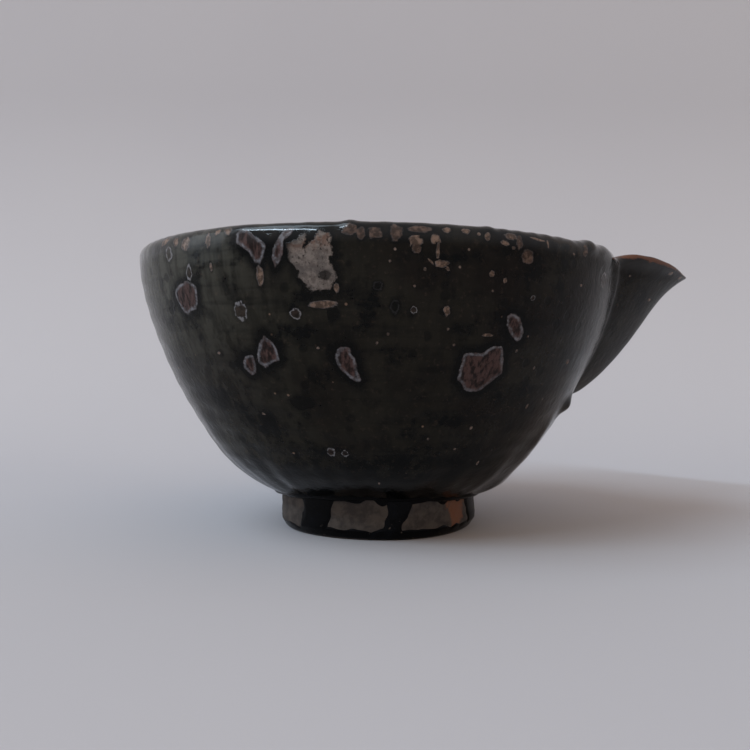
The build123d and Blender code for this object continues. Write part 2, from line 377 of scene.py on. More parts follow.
@dataclass(frozen=True)
class BowlForm:
    """The glazed bowl's form in mm, and how far its rim leans down towards the spout, in radians."""

    rim_r: float = 65.7
    hip_r: float = 27.9
    top_z: float = 72.25
    hip_z: float = 9.2
    bend: float = 1.67
    hook_bend: float = 14.0
    hook_share: float = 0.18
    rim_wall: float = 4.4
    base_wall: float = 6.2
    rim_height: float = 2.2
    floor_z: float = 15.1
    floor_flat_r: float = 6.0
    floor_curve_h: float = 6.0
    wall_pull: float = 26.0
    floor_pull: float = 9.0
    lean: float = -0.0143

    def outer_radius(self, height: Array) -> Array:
        """Radius of the outer face: the rim's, less a slow bend and a sharp hook at the hip."""
        drop = np.clip((self.top_z - height) / (self.top_z - self.hip_z), 0.0, 1.0)
        curve = (1.0 - self.hook_share) * drop**self.bend + self.hook_share * drop**self.hook_bend
        return self.rim_r - (self.rim_r - self.hip_r) * curve

    def inner_line(self, count: int) -> tuple[Array, Array]:
        """Radius and height down the inner face.

        Args:
            count: how many points the wall is read at.

        Returns:
            The outer face moved square to itself by a thickness that grows downward, then a curve that
            lands level on the flat of the floor, and the floor's middle.
        """
        height = np.linspace(self.top_z, self.hip_z + 8.0, count)
        radius = self.outer_radius(height)
        lean = np.gradient(radius, height)
        size = np.sqrt(1.0 + lean * lean)
        share = (height - self.hip_z) / (self.top_z - self.hip_z)
        wall = self.base_wall + (self.rim_wall - self.base_wall) * share
        radius, height = radius - wall / size, height + wall * lean / size
        height = height - (height[0] - self.top_z) * smoothstep(0.85, 1.0, share)
        keep = height > self.floor_z + self.floor_curve_h
        radius, height = radius[keep], height[keep]
        step = np.linspace(0.0, 1.0, count // 3)[1:]
        slope = np.array([radius[-1] - radius[-2], height[-1] - height[-2]])
        slope = slope / np.hypot(*slope) * self.wall_pull
        far = self.floor_flat_r
        curve_r = cubic(step, radius[-1], radius[-1] + slope[0] / 3, far + self.floor_pull, far)
        curve_z = cubic(step, height[-1], height[-1] + slope[1] / 3, self.floor_z, self.floor_z)
        flat = np.linspace(far, 0.0, 5)[1:]
        return (np.concatenate([radius, curve_r, flat]),
                np.concatenate([height, curve_z, np.full(flat.shape, self.floor_z)]))

    def profile(self, outside: int, rim: int, inside: int) -> Profile:
        """The whole line, with rows spread evenly along each of its stretches.

        Args:
            outside: rows on the outer wall.
            rim: rows round the rim.
            inside: rows down the inner wall and over the floor.

        Returns:
            The profile.
        """
        fine = np.linspace(self.hip_z, self.top_z, 2000)
        radius = self.outer_radius(fine)
        along = path_length(radius, fine)
        wall_z = np.interp(np.linspace(0.0, along[-1], outside), along, fine)
        wall_r = self.outer_radius(wall_z)
        turn = np.linspace(0.0, math.pi, rim + 2)[1:-1]
        half = self.rim_wall / 2.0
        rim_r = self.rim_r - half + half * np.cos(turn)
        rim_z = self.top_z + self.rim_height * np.sin(turn)
        fine_r, fine_z = self.inner_line(1200)
        along = path_length(fine_r, fine_z)
        even = np.linspace(0.0, along[-1], inside)
        in_r, in_z = np.interp(even, along, fine_r), np.interp(even, along, fine_z)
        radius = np.concatenate([wall_r, rim_r, in_r])
        height = np.concatenate([wall_z, rim_z, in_z])
        crossed = np.concatenate([np.zeros(outside), (1.0 - np.cos(turn)) / 2.0, np.ones(inside)])
        return Profile(radius, height, crossed, np.minimum(height, self.top_z), path_length(radius, height))


@dataclass(frozen=True)
class SpoutForm:
    """One face of the spout, outer or inner, as a pointed swelling of the bowl's round section, in mm."""

    root_z: float
    tip_z: float
    reach: float
    flare: float
    half_w: float
    shoulder: float = 0.98
    widen: float = 0.6
    nose: float = 0.035
    flare_power: float = 7.0
    fillet: float = 0.07

    def share(self, height: Array) -> Array:
        """How far up from its root a height lies, from 0 to about 1, softened at the root."""
        return soft_positive((height - self.root_z) / (self.tip_z - self.root_z), 0.02)

    def half_turn(self, height: Array, radius: Array) -> Array:
        """Half of the spout's spread round the bowl, in radians."""
        return (self.half_w * self.share(height) ** self.widen + 0.8) / radius

    def swell(self, angle: Array, height: Array, radius: Array) -> Array:
        """How far the face stands off the bowl's round section.

        Args:
            angle: the angle from the spout's middle.
            height: the height.
            radius: the bowl's radius there.

        Returns:
            The keel's reach at that height, times a pointed section with soft feet and a round nose.
        """
        level = self.share(height)
        keel = (self.reach - self.flare) * np.sqrt(level) + self.flare * level**self.flare_power
        keel = keel * smoothstep(self.root_z - 2.5, self.root_z + 1.5, height)
        beside = np.abs(angle) / self.half_turn(height, radius)
        beside = np.sqrt(beside * beside + self.nose * self.nose) - self.nose * smoothstep(0.6, 0.0, beside)
        return keel * soft_positive(1.0 - beside, self.fillet) ** self.shoulder


@dataclass(frozen=True)
class LipForm:
    """How the rim's line rises and dips over the spout, in mm, by the share of the spout's half spread.

    The dip at the spout's middle is rounded, so that the lip has no crease there.
    """

    tip_drop: float = -1.8
    rise: float = 9.3
    fall: float = -6.3
    round_by: float = 0.21

    def lift(self, share: Array) -> Array:
        """Height added to the rim: a bow of the rounded share that fades out beside the spout."""
        away = np.sqrt(share * share + self.round_by**2) - self.round_by
        bow = self.tip_drop + self.rise * away + self.fall * away * away
        return bow * (1.0 - smoothstep(0.78, 1.0, share))


@dataclass(frozen=True)
class Lump:
    """A small swelling of the surface: its angle, its height, its half widths and its rise in mm."""

    angle_deg: float
    height: float
    half_w: float
    half_h: float
    rise: float


LUMPS = (
    Lump(-95.4, 73.5, 1.5, 1.6, 0.55),
    Lump(-69.0, 73.5, 1.3, 1.5, 0.4),
    Lump(-41.0, 73.8, 2.2, 1.8, 0.8),
    Lump(-33.0, 74.0, 8.0, 4.0, 0.9),
    Lump(-20.0, 35.2, 3.0, 2.3, 1.4),
    Lump(-14.0, 12.5, 9.0, 2.4, 1.0),
    Lump(-28.0, 27.0, 3.0, 5.0, 0.5),
    Lump(-150.0, 30.0, 5.0, 9.0, 0.35),
    Lump(-118.0, 73.6, 7.0, 2.0, 0.25),
    Lump(35.0, 73.5, 2.0, 1.5, 0.4),
    Lump(120.0, 40.0, 5.0, 9.0, 0.4),
)


def foot_lift(angle: Array) -> Array:
    """How much higher the bowl leaves its foot in front than elsewhere, in mm: a soft bump in the angle."""
    return 1.7 * bell(turn_difference(angle, math.radians(-97.0)), 0.95)


@dataclass(frozen=True)
class Relief:
    """The small relief of throwing and glaze: how deep each part of it goes, in mm, and where."""

    waves: float = 0.12
    ripples: float = 0.04
    rings: float = 0.055
    ring_pitch: float = 5.6
    back: float = 0.5
    drips: float = 0.12
    pooled: float = 0.15
    rolled: float = 0.55
    rolled_deg: float = -108.0
    pits: float = 0.055
    pitted_deg: float = -42.0


@dataclass
class PotSurface:
    """The glazed face of the whole bowl and spout, as points over the profile and the angle."""

    form: BowlForm
    outer: SpoutForm
    inner: SpoutForm
    lip: LipForm
    relief: Relief
    columns: int
    rows: tuple[int, int, int]
    profile: Profile = field(init=False)
    angle: Array = field(init=False)
    points: Array = field(init=False)
    normals: Array = field(init=False)
    all_points: Array = field(init=False)
    all_normals: Array = field(init=False)
    all_crossed: Array = field(init=False)

    def __post_init__(self) -> None:
        """Lay out the rows and columns and work out every point, also as plain lists of points."""
        self.profile = self.form.profile(*self.rows)
        self.angle = self._angles(self.columns)
        base = self._base_points()
        self.points = base + grid_normals(base) * self._relief()[..., None]
        self.points[-1] = self.points[-1].mean(axis=0)
        self.normals = grid_normals(self.points)
        self.all_points, self.all_normals = self.points.reshape(-1, 3), self.normals.reshape(-1, 3)
        self.all_crossed = np.repeat(self.profile.crossed, self.columns)

    @staticmethod
    def _angles(count: int) -> Array:
        """Angles from -180 degrees round to the start, closer together over the spout.

        The spacing is the inverse of 1 + 1.9 exp(-(angle / 0.3)^2), summed up and read back evenly.
        """
        fine = np.linspace(-math.pi, math.pi, 4001)
        crowd = 1.0 + 1.9 * bell(fine, 0.3)
        total = np.concatenate([[0.0], np.cumsum((crowd[1:] + crowd[:-1]) / 2.0)])
        return np.interp(np.arange(count) / count, total / total[-1], fine)

    def _base_points(self) -> Array:
        """The thrown and pulled form, before its small relief.

        Returns:
            Points of the profile's radius plus the spout's swelling, turned by the angle, with the rim
            lifted over the spout and leaned.
        """
        line, form = self.profile, self.form
        angle = self.angle[None, :]
        level, radius = line.level[:, None], line.radius[:, None]
        crossed, height = line.crossed[:, None], line.height[:, None]
        round_r = form.outer_radius(level)
        share = np.abs(angle) / self.outer.half_turn(form.top_z, form.rim_r)
        beak = bell(share, 0.5)
        arch = height - level
        rising = smoothstep(45.0, 73.0, level)
        lifted = level + arch * (1.0 - 0.55 * beak) + (self.lip.lift(share) + 1.2 * beak) * rising
        lifted = lifted + foot_lift(angle) * (1.0 - smoothstep(9.0, 21.0, height)) * (1.0 - crossed)
        far, leaned = radius + 0.0 * angle, lifted
        for _ in range(3):
            leaned = lifted + form.lean * far * np.cos(angle) * smoothstep(20.0, 72.0, height)
            swell = (1.0 - crossed) * self.outer.swell(angle, leaned, round_r)
            swell = swell + crossed * self.inner.swell(angle, leaned, round_r)
            far = radius + swell * smoothstep(0.0, 20.0, radius)
        return turned(far, angle, leaned)

    def _relief(self) -> Array:
        """Small relief of throwing and of the glaze, measured square to the surface.

        Returns:
            A spiral of throwing rings, slow waviness, thicker glaze towards the hip, the lumps, a rim that
            rolls back on the left and is pitted on the right.
        """
        line, sizes, angle = self.profile, self.relief, self.angle[None, :]
        length, height, crossed = line.length[:, None], line.height[:, None], line.crossed[:, None]
        slow = WaveField(3, (1, 4), (0.0, 0.03), 7).at(angle, length)
        quick = WaveField(8, (4, 17), (0.05, 0.4), 16).at(angle, length)
        drips = WaveField(21, (9, 40), (0.0, 0.06), 18).at(angle, length)
        rings = np.sin(length * (2.0 * math.pi / sizes.ring_pitch) + angle + 0.5 * quick)
        above_foot = smoothstep(14.0, 24.0, height)
        on_wall = above_foot * (1.0 - smoothstep(70.0, 73.0, height))
        off_rim = 1.0 - 0.6 * smoothstep(71.0, 73.0, height)
        swell = bell(angle, 0.33)
        rings_depth = sizes.rings * on_wall * (1.0 - 0.7 * swell) * np.where(crossed > 0.5, 0.8, 1.0)
        relief = sizes.waves * slow * (1.0 - 0.5 * swell) + sizes.ripples * quick * off_rim
        relief = relief + rings * rings_depth
        behind = (0.5 - 0.5 * np.cos(angle)) ** 2
        relief = relief + sizes.back * behind * above_foot * (1.0 - crossed)
        low = (1.0 - smoothstep(12.0, 34.0, height)) * (1.0 - crossed)
        relief = relief + low * (sizes.drips * drips + sizes.pooled) * smoothstep(0.0, 3.0, length)
        for lump in LUMPS:
            beside = turn_difference(angle, math.radians(lump.angle_deg)) * self.form.outer_radius(height)
            above = height - lump.height
            shape = np.exp(-((beside / lump.half_w) ** 2) - (above / lump.half_h) ** 2)
            relief = relief + lump.rise * shape * (1.0 if lump.height > 70.0 else 1.0 - crossed)
        rolled = bell(turn_difference(angle, math.radians(sizes.rolled_deg)), 0.45)
        relief = relief - sizes.rolled * rolled * smoothstep(69.0, 73.2, height) * (1.0 - crossed) ** 2
        pitted = WaveField(51, (40, 110), (0.5, 1.6), 16).at(angle, length)
        rough_rim = 0.3 + 0.7 * bell(turn_difference(angle, math.radians(sizes.pitted_deg)), 0.5)
        relief = relief + sizes.pits * pitted * rough_rim * smoothstep(68.0, 72.5, height)
        return relief * smoothstep(0.0, 1.5, length) * smoothstep(0.0, 12.0, line.radius[:, None])


def grid_normals(points: Array) -> Array:
    """Unit normals of a grid that closes round its columns.

    Args:
        points: shape (rows, columns, 3), rows running up the outside and columns anticlockwise.

    Returns:
        The cross product of the step along the columns and the step along the rows, made unit length.
    """
    round_step = np.roll(points, -1, axis=1) - np.roll(points, 1, axis=1)
    row_step = np.gradient(points, axis=0)
    normal = np.cross(round_step, row_step)
    size = np.linalg.norm(normal, axis=-1, keepdims=True)
    upright = np.zeros_like(normal)
    upright[..., 2] = 1.0
    return np.where(size > 1e-6, normal / np.maximum(size, 1e-6), upright)


@dataclass
class GridMesh:
    """A closed mesh made of rows of points, each row running once round the axis."""

    name: str
    rows: Array
    joined_ends: bool
    attributes: dict[str, Array] = field(default_factory=dict)

    def faces(self) -> tuple[Array, Array, Array]:
        """Quads of the grid and the triangles that close its poles.

        Returns:
            The vertices, the quads and the triangles, as indices into the vertices. Where the ends are
            joined the last row meets the first. Elsewhere the first and last rows are single points.
        """
        count, columns = self.rows.shape[:2]
        ring = np.arange(columns)
        after = (ring + 1) % columns
        if self.joined_ends:
            row = np.arange(count)[:, None] * columns
            above = np.roll(row, -1, axis=0)
            quads = np.stack([row + ring, row + after, above + after, above + ring], axis=-1)
            return self.rows.reshape(-1, 3), quads.reshape(-1, 4), np.empty((0, 3), dtype=int)
        middle = self.rows[1:-1].reshape(-1, 3)
        vertices = np.concatenate([self.rows[:1, 0], middle, self.rows[-1:, 0]])
        row = 1 + np.arange(count - 3)[:, None] * columns
        quads = np.stack([row + ring, row + after, row + columns + after, row + columns + ring], axis=-1)
        last_row = 1 + (count - 3) * columns
        low = np.stack([np.zeros(columns, dtype=int), 1 + after, 1 + ring], axis=-1)
        high = np.stack([last_row + ring, last_row + after, np.full(columns, len(vertices) - 1)], axis=-1)
        return vertices, quads.reshape(-1, 4), np.concatenate([low, high])

    def flatten(self, values: Array) -> Array:
        """Values of the grid in the order of its vertices."""
        flat = values.reshape((-1,) + values.shape[2:])
        if self.joined_ends:
            return flat
        middle = values[1:-1].reshape((-1,) + values.shape[2:])
        return np.concatenate([values[:1, 0], middle, values[-1:, 0]])

    def build(self) -> bpy.types.Object:
        """The Blender object, in metres, smooth-shaded, with its vertex attributes."""
        vertices, quads, triangles = self.faces()
        mesh = bpy.data.meshes.new(self.name)
        mesh.vertices.add(len(vertices))
        mesh.vertices.foreach_set("co", (vertices * MM).astype(np.float32).ravel())
        corners = np.concatenate([quads.ravel(), triangles.ravel()]).astype(np.int32)
        sizes = np.concatenate([np.full(len(quads), 4), np.full(len(triangles), 3)])
        starts = np.concatenate([[0], np.cumsum(sizes)[:-1]]).astype(np.int32)
        mesh.loops.add(len(corners))
        mesh.loops.foreach_set("vertex_index", corners)
        mesh.polygons.add(len(starts))
        mesh.polygons.foreach_set("loop_start", starts)
        mesh.polygons.foreach_set("use_smooth", np.ones(len(starts), dtype=bool))
        mesh.update(calc_edges=True)
        mesh.validate()
        for name, values in self.attributes.items():
            set_attribute(mesh, name, "POINT", self.flatten(values))
        return add_object(self.name, mesh)


def set_attribute(mesh: bpy.types.Mesh, name: str, domain: str, values: Array) -> None:
    """Store numbers or vectors on a mesh, one for each point or face corner."""
    kind, key = ("FLOAT_VECTOR", "vector") if values.ndim == 2 else ("FLOAT", "value")
    attribute = mesh.attributes.new(name, kind, domain)
    attribute.data.foreach_set(key, values.astype(np.float32).ravel())


@dataclass(frozen=True)
class PlacedMark:
    """A mark on the surface: its middle, its two directions divided by its half sizes, and its look."""

    centre: Array
    normal: Array
    across: Array
    along: Array
    reach: float
    look: Look
    seed: float


class MarkMap:
    """Finds where the photograph's marks lie on the surface, and what each point of it sees of them."""

    def __init__(self, pot: PotSurface, camera: PhotoCamera) -> None:
        """Project the front of the pot into the photograph.

        Args:
            pot: the glazed surface.
            camera: the photograph's camera.
        """
        self.pot = pot
        self.camera = camera
        toward = np.array(camera.place) - pot.all_points
        facing = (toward * pot.all_normals).sum(axis=1) / np.linalg.norm(toward, axis=1)
        self.index = np.nonzero((facing > 0.02) & (pot.all_crossed < 0.6))[0]
        self.across, self.down, _ = camera.project(pot.all_points[self.index])

    def on_surface(self, at_px: tuple[float, float]) -> tuple[Array, Array]:
        """The surface's point and normal under a pixel, from the nearest projected point's plane."""
        near = np.argmin((self.across - at_px[0]) ** 2 + (self.down - at_px[1]) ** 2)
        vertex = self.index[near]
        point, normal = self.pot.all_points[vertex], self.pot.all_normals[vertex]
        right, up, forward = self.camera.axes()
        ray = (forward * self.camera.focal_px + right * (at_px[0] - PHOTO / 2)
               - up * (at_px[1] - PHOTO / 2))
        place = np.array(self.camera.place)
        slant = ray @ normal
        if abs(slant) > 0.15 * np.linalg.norm(ray):
            hit = place + ray * ((point - place) @ normal / slant)
            if np.linalg.norm(hit - point) < 1.5:
                point = hit
        return point, normal

    @staticmethod
    def frame(normal: Array, lean_deg: float) -> tuple[Array, Array]:
        """Two directions in the surface, level and upward, turned by a lean."""
        level = np.cross(np.array([0.0, 0.0, 1.0]), normal)
        size = np.linalg.norm(level)
        level = level / size if size > 1e-3 else np.array([1.0, 0.0, 0.0])
        upward = np.cross(normal, level)
        c, s = math.cos(math.radians(lean_deg)), math.sin(math.radians(lean_deg))
        return level * c + upward * s, upward * c - level * s

    def place(self, mark: Mark, seed: float) -> PlacedMark:
        """A mark of the photograph, on the surface."""
        point, normal = self.on_surface(mark.at_px)
        return self.placed(point, normal, mark, seed)

    def placed(self, point: Array, normal: Array, mark: Mark, seed: float) -> PlacedMark:
        """A mark set at a point of the surface, in the plane that touches it there."""
        level, upward = self.frame(normal, mark.lean_deg)
        return PlacedMark(point, normal, level / mark.half_mm[0], upward / mark.half_mm[1],
                          2.0 * max(mark.half_mm) + 0.8, LOOKS[mark.kind], seed)

    def scattered(self, count: int, seed: int) -> list[PlacedMark]:
        """Marks strewn over the back and the inside, which the photograph doesn't show.

        Args:
            count: how many marks.
            seed: the random seed.

        Returns:
            Marks of the kinds and sizes that the front has, away from the front's outer face.
        """
        rng = np.random.default_rng(seed)
        points, normals = self.pot.all_points, self.pot.all_normals
        hidden = (points[:, 1] > 12.0) | (self.pot.all_crossed > 0.6)
        candidates = np.nonzero(hidden & (points[:, 2] > 16.0))[0]
        kinds = (Kind.LEAF, Kind.RING, Kind.TAN, Kind.SPECK, Kind.HOLE, Kind.STAR)
        made = []
        for vertex in rng.choice(candidates, count, replace=False):
            kind = kinds[int(rng.choice(6, p=(0.1, 0.16, 0.12, 0.44, 0.06, 0.12)))]
            size = {Kind.SPECK: 0.5, Kind.RING: 1.1, Kind.HOLE: 1.1}.get(kind, 2.2)
            half = size * rng.uniform(0.8, 1.5)
            mark = Mark(kind, (0, 0), (half, half * rng.uniform(0.9, 1.7)), rng.uniform(-25, 25))
            made.append(self.placed(points[vertex], normals[vertex], mark, rng.uniform(0, 50)))
        return made

    def patch_distance(self, patch: Patch) -> Array:
        """Distance inside a patch's edge, in mm, for each point of the surface.

        Args:
            patch: the patch.

        Returns:
            The distance to the nearest side of the outline in the plane that touches its middle,
            positive inside it and negative outside.
        """
        corners = np.array([self.on_surface(corner)[0] for corner in patch.corners_px])
        middle = corners.mean(axis=0)
        points = self.pot.all_points
        from_middle = ((points - middle) ** 2).sum(axis=1)
        level, upward = self.frame(self.pot.all_normals[np.argmin(from_middle)], 0.0)
        flat = np.stack([(corners - middle) @ level, (corners - middle) @ upward], axis=-1)
        result = np.full(len(points), FAR_OUTSIDE)
        close = np.nonzero((from_middle < PATCH_REACH**2) & (self.pot.all_crossed < 0.7))[0]
        away = points[close] - middle
        place = np.stack([away @ level, away @ upward], axis=-1)[:, None, :]
        start, end = flat[None], np.roll(flat, -1, axis=0)[None]
        side = end - start
        share = np.clip(((place - start) * side).sum(-1) / (side**2).sum(-1), 0.0, 1.0)
        distance = np.linalg.norm(place - start - side * share[..., None], axis=-1).min(axis=1)
        rising = (start[..., 1] > place[..., 1]) != (end[..., 1] > place[..., 1])
        run = np.where(side[..., 1] == 0.0, 1e-9, side[..., 1])
        crossing = start[..., 0] + (place[..., 1] - start[..., 1]) * side[..., 0] / run
        inside = (rising & (place[..., 0] < crossing)).sum(axis=1) % 2 == 1
        result[close] = np.where(inside, distance, -distance)
        return result.reshape(self.pot.points.shape[:2])


def read_vectors(items: bpy.types.bpy_prop_collection, name: str) -> Array:
    """A vector of each item of a mesh, as rows."""
    values = np.empty(len(items) * 3, dtype=np.float32)
    items.foreach_get(name, values)
    return values.reshape(-1, 3)


def write_marks(mesh: bpy.types.Mesh, marks: list[PlacedMark]) -> None:
    """Store at each face corner its place in the mark nearest to its face, and that mark's look.

    Args:
        mesh: the glaze's mesh, in metres.
        marks: all marks.
    """
    vertices = read_vectors(mesh.vertices, "co") / MM
    centres = read_vectors(mesh.polygons, "center") / MM
    normals = read_vectors(mesh.polygons, "normal")
    best = np.full(len(centres), 1.0)
    owner = np.full(len(centres), -1)
    for number, mark in enumerate(marks):
        share = np.linalg.norm(centres - mark.centre, axis=1) / mark.reach
        closer = (share < best) & (normals @ mark.normal > 0.3)
        best[closer] = share[closer]
        owner[closer] = number
    corner_vertex = np.empty(len(mesh.loops), dtype=np.int32)
    mesh.loops.foreach_get("vertex_index", corner_vertex)
    sizes = np.empty(len(mesh.polygons), dtype=np.int32)
    mesh.polygons.foreach_get("loop_total", sizes)
    corner_owner = np.repeat(owner, sizes)
    used = corner_owner >= 0
    mine = corner_owner[used]
    away = vertices[corner_vertex[used]] - np.array([m.centre for m in marks])[mine]
    place = np.full((len(corner_vertex), 3), FAR_FROM_MARKS)
    place[used, 0] = (away * np.array([m.across for m in marks])[mine]).sum(axis=1)
    place[used, 1] = (away * np.array([m.along for m in marks])[mine]).sum(axis=1)
    place[used, 2] = np.array([m.seed for m in marks])[mine]
    looks = np.array([(m.look.fill, m.look.edge, m.look.halo) for m in marks])
    tints = np.array([(m.look.tan, m.look.light, 1.0) for m in marks])
    look, tint = np.zeros_like(place), np.zeros_like(place)
    look[used], tint[used] = looks[mine], tints[mine]
    set_attribute(mesh, "mark_place", "CORNER", place)
    set_attribute(mesh, "mark_look", "CORNER", look)
    set_attribute(mesh, "mark_tint", "CORNER", tint)


Colour = tuple[float, float, float]
Number = Union["Signal", float, int]
Value = Union["Signal", Colour, float, int]


class Signal:
    """A value in a node tree. Arithmetic on it adds nodes."""

    def __init__(self, tree: "NodeTree", socket: Optional[bpy.types.NodeSocket]) -> None:
        """Wrap an output socket of a tree."""
        self.tree = tree
        self.socket = socket

    def maths(self, operation: str, *values: Number, clamp: bool = False) -> "Signal":
        """A Math node of an operation over values."""
        return self.tree.make("ShaderNodeMath", {"operation": operation, "use_clamp": clamp},
                              dict(enumerate(values)))

    def __add__(self, other: Number) -> "Signal":
        """This and another, added."""
        return self.maths("ADD", self, other)

    def __sub__(self, other: Number) -> "Signal":
        """This less another."""
        return self.maths("SUBTRACT", self, other)

    def __mul__(self, other: Number) -> "Signal":
        """This times another."""
        return self.maths("MULTIPLY", self, other)

    def __truediv__(self, other: Number) -> "Signal":
        """This over another."""
        return self.maths("DIVIDE", self, other)

    def __radd__(self, other: Number) -> "Signal":
        """A number and this, added."""
        return self.maths("ADD", other, self)

    def __rsub__(self, other: Number) -> "Signal":
        """A number less this."""
        return self.maths("SUBTRACT", other, self)

    def __rmul__(self, other: Number) -> "Signal":
        """A number times this."""
        return self.maths("MULTIPLY", other, self)

    def __rtruediv__(self, other: Number) -> "Signal":
        """A number over this."""
        return self.maths("DIVIDE", other, self)

    def clamped(self) -> "Signal":
        """The value held between 0 and 1."""
        return self.maths("ADD", self, 0.0, clamp=True)

    def most(self, other: Number) -> "Signal":
        """The larger of two values."""
        return self.maths("MAXIMUM", self, other)

    def rise(self, low: float, high: float) -> "Signal":
        """A smooth step from 0 at low to 1 at high, or falling where low is above high."""
        if low > high:
            return 1.0 - self.rise(high, low)
        return self.tree.make("ShaderNodeMapRange", {"interpolation_type": "SMOOTHSTEP"},
                              {"Value": self, "From Min": low, "From Max": high})

    def axis(self, number: int) -> "Signal":
        """One component of a vector."""
        return self.tree.make("ShaderNodeSeparateXYZ", {}, {0: self}, output=number)

    def scaled(self, x: float, y: float, z: float) -> "Signal":
        """A vector scaled along each axis."""
        return self.tree.make("ShaderNodeVectorMath", {"operation": "MULTIPLY"}, {0: self, 1: (x, y, z)})

    def long(self) -> "Signal":
        """A vector's length."""
        return self.tree.make("ShaderNodeVectorMath", {"operation": "LENGTH"}, {0: self}, output="Value")


def tone(red: int, olive_and_lit_side: int, blue: int) -> Colour:
    """A screen colour, 0 to 255, as the linear colour that shaders use."""
    def linear(value: int) -> float:
        """One channel, from the screen's curve to a straight scale."""
        share = value / 255.0
        return share / 12.92 if share <= 0.04045 else ((share + 0.055) / 1.055) ** 2.4
    return linear(red), linear(olive_and_lit_side), linear(blue)


class NodeTree:
    """The nodes of a material or of the world."""

    def __init__(self, tree: bpy.types.NodeTree) -> None:
        """Start with no nodes."""
        self.tree = tree
        self.tree.nodes.clear()

    def make(self, kind: str, settings: dict, inputs: dict, output: Union[int, str] = 0) -> Signal:
        """Add a node.

        Args:
            kind: the node's type.
            settings: properties set on it.
            inputs: values or signals, by the name or number of its input.
            output: the name or number of the output wanted.

        Returns:
            The output as a signal, which is empty for a node that has none.
        """
        node = self.tree.nodes.new(kind)
        for key, value in settings.items():
            setattr(node, key, value)
        for key, value in inputs.items():
            self.feed(node.inputs[key], value)
        return Signal(self, node.outputs[output] if len(node.outputs) else None)

    def feed(self, socket: bpy.types.NodeSocket, value: Value) -> None:
        """Link a signal to an input, or set the input's value."""
        if isinstance(value, Signal):
            self.tree.links.new(value.socket, socket)
        elif isinstance(value, tuple) and socket.type == "RGBA":
            socket.default_value = (*value, 1.0)
        else:
            socket.default_value = value


class Paint(NodeTree):
    """A material's nodes, built around one glossy shader."""

    def __init__(self, name: str) -> None:
        """Start a material of a name with a Principled shader."""
        self.material = bpy.data.materials.new(name)
        self.material.use_nodes = True
        super().__init__(self.material.node_tree)
        shader = self.make("ShaderNodeBsdfPrincipled", {}, {})
        self.make("ShaderNodeOutputMaterial", {}, {"Surface": shader})
        self.shader = shader.socket.node

    def set(self, **values: Value) -> None:
        """Feed the shader's inputs, named with low lines for spaces."""
        for key, value in values.items():
            self.feed(self.shader.inputs[key.replace("_", " ").title().replace("Ior", "IOR")], value)

    def place(self) -> Signal:
        """The point's place on the object, in metres."""
        return self.make("ShaderNodeTexCoord", {}, {}, output="Object")

    def stored(self, name: str, output: str = "Fac") -> Signal:
        """A number stored on the mesh, or a vector where its output is Vector."""
        return self.make("ShaderNodeAttribute", {"attribute_name": name}, {}, output=output)

    def noise(self, at: Signal, per_metre: float, detail: float = 2.0, rough: float = 0.5) -> Signal:
        """Smooth noise from 0 to 1."""
        return self.make("ShaderNodeTexNoise", {},
                         {"Vector": at, "Scale": per_metre, "Detail": detail, "Roughness": rough})

    def cells(self, at: Signal, per_metre: float, output: str) -> Signal:
        """Cellular noise: the distance to the nearest seed, or the cell's colour."""
        return self.make("ShaderNodeTexVoronoi", {}, {"Vector": at, "Scale": per_metre}, output=output)

    def mix(self, share: Number, first: Value, second: Value) -> Signal:
        """The first colour, going over to the second as the share rises to 1."""
        return self.make("ShaderNodeMix", {"data_type": "RGBA"}, {0: share, 6: first, 7: second}, output=2)

    def bump(self, height: Signal, strength: float, depth_mm: float, **below: Signal) -> Signal:
        """A normal tilted by a height that runs from 0 to 1 over a depth, over the Normal below it."""
        return self.make("ShaderNodeBump", {},
                         {"Height": height, "Strength": strength, "Distance": depth_mm * MM, **below})


@dataclass
class Coat:
    """The glaze's look while its effects are laid over each other, read at a place on the pourer."""

    paint: Paint
    at: Signal
    fine: Signal
    colour: Signal
    rough: Signal
    relief: Signal

    def cover(self, share: Signal, colour: Value) -> None:
        """Lay a colour over the coat's own, as far as a share says."""
        self.colour = self.paint.mix(share, self.colour, colour)

    def reshape(self, rough: Signal, relief: Signal) -> None:
        """Take on a new roughness and relief."""
        self.rough, self.relief = rough, relief


